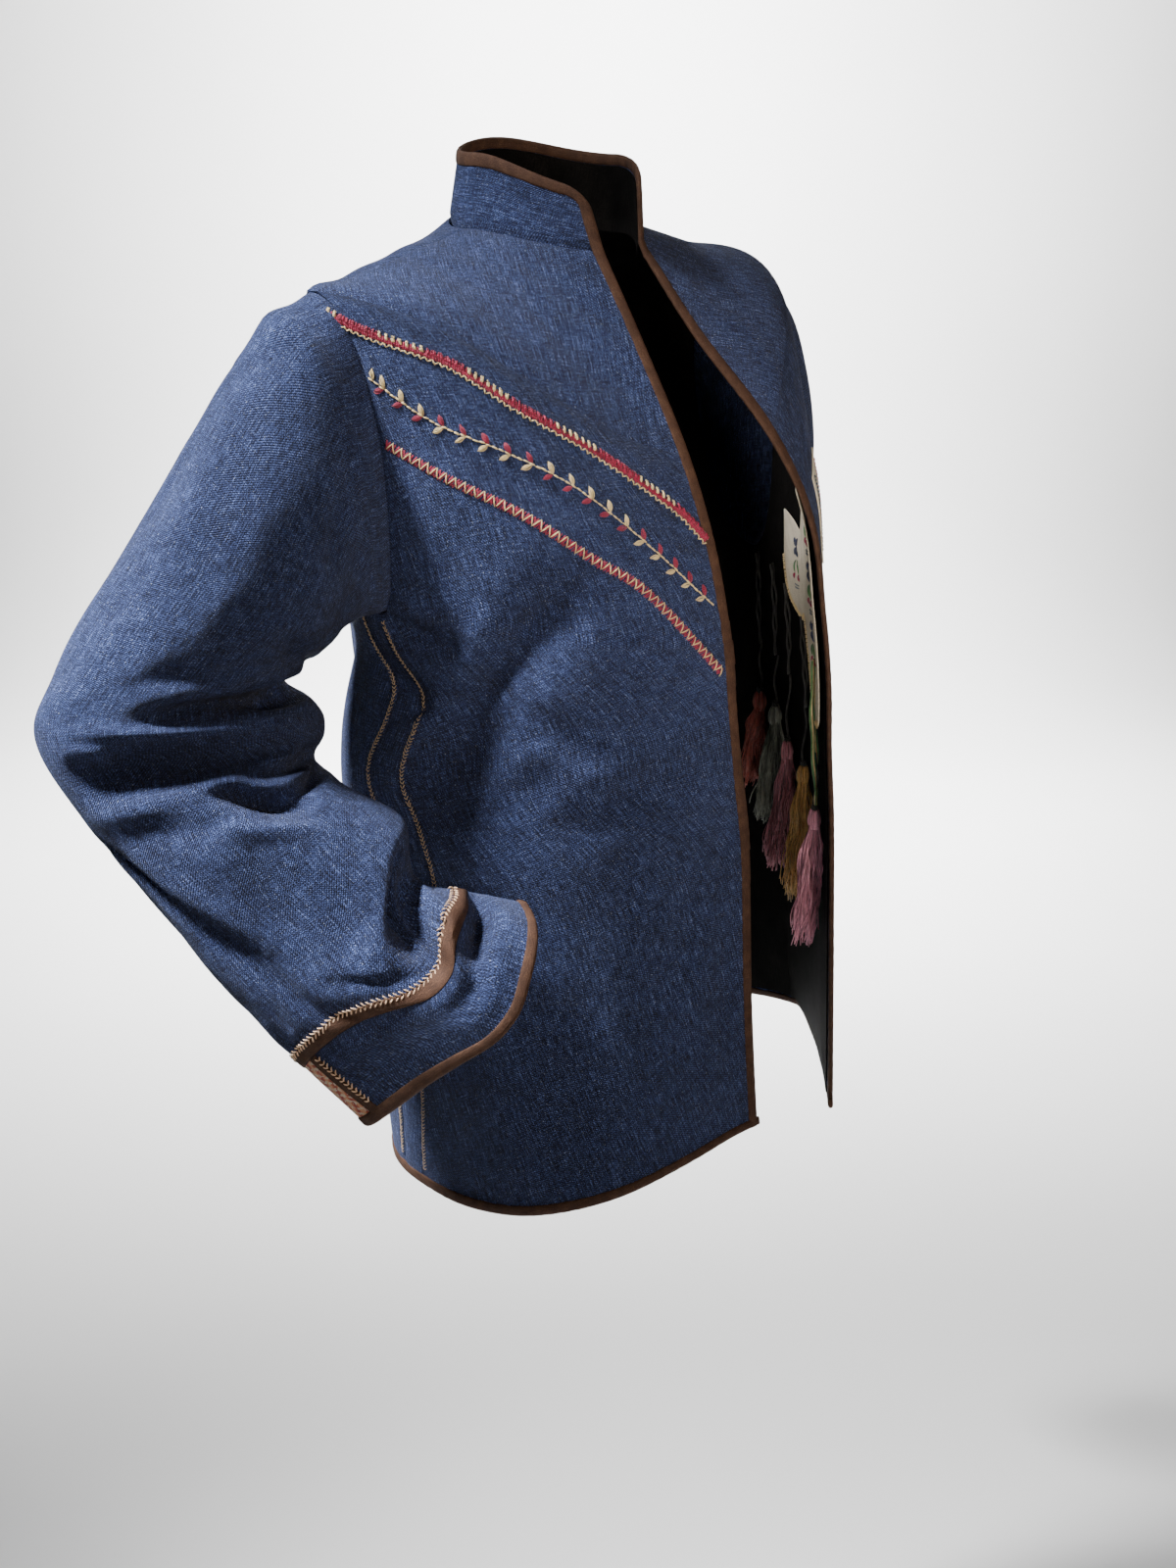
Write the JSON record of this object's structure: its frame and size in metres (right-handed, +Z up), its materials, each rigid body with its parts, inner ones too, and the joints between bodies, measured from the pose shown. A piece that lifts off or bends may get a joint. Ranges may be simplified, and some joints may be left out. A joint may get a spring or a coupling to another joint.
{
  "type": "embroidered jacket",
  "caption": "Hip-length jacket of indigo hemp standing open as worn, with a stand collar, bound edges, one bent sleeve, embroidered cuffs and tassels inside one front.",
  "frame": {"origin": "on the neck's axis at the height of the shoulder points, where the jacket rests on the wearer", "axes": "+Z up, the wearer faces -Y, the wearer's right is -X"},
  "size_m": [0.8023, 0.4339, 0.76],
  "materials": {
    "indigo_hemp": "coarse slubby weave, matt",
    "brown_binding": "plain cotton, matt",
    "black_lining": "plain cotton, matt",
    "cream_embroidery": "cream cloth covered with thread stitches",
    "red_embroidery": "red cloth covered with thread stitches",
    "pink_thread": "twisted thread, soft sheen",
    "gold_thread": "twisted thread, soft sheen",
    "mauve_thread": "twisted thread, soft sheen",
    "teal_thread": "twisted thread, soft sheen",
    "rust_thread": "twisted thread, soft sheen"
  },
  "bodies": {
    "root": {"front_right": "indigo_hemp", "front_left": "indigo_hemp", "back": "indigo_hemp", "gore_right": "indigo_hemp", "gore_left": "indigo_hemp", "collar": "indigo_hemp", "sleeve_right": "indigo_hemp", "sleeve_left": "indigo_hemp", "cuff_band_right": "indigo_hemp", "cuff_band_left": "indigo_hemp", "edge_binding": "brown_binding", "hem_binding": "brown_binding", "sleeve_strip_right": "brown_binding", "sleeve_strip_left": "brown_binding", "cuff_strip_front_right": "brown_binding", "cuff_strip_back_right": "brown_binding", "cuff_strip_front_left": "brown_binding", "cuff_strip_back_left": "brown_binding", "cuff_binding_right": "brown_binding", "cuff_binding_left": "brown_binding", "collar_facing": "black_lining", "lining_right": "black_lining", "lining_left": "black_lining", "lining_back": "black_lining", "inner_panel": "cream_embroidery", "outer_panel": "cream_embroidery", "cuff_panel_right": "red_embroidery", "cuff_panel_left": "red_embroidery", "tassel_pink": "pink_thread", "tassel_gold": "gold_thread", "tassel_mauve": "mauve_thread", "tassel_teal": "teal_thread", "tassel_rust": "rust_thread"}
  },
  "joints": []
}
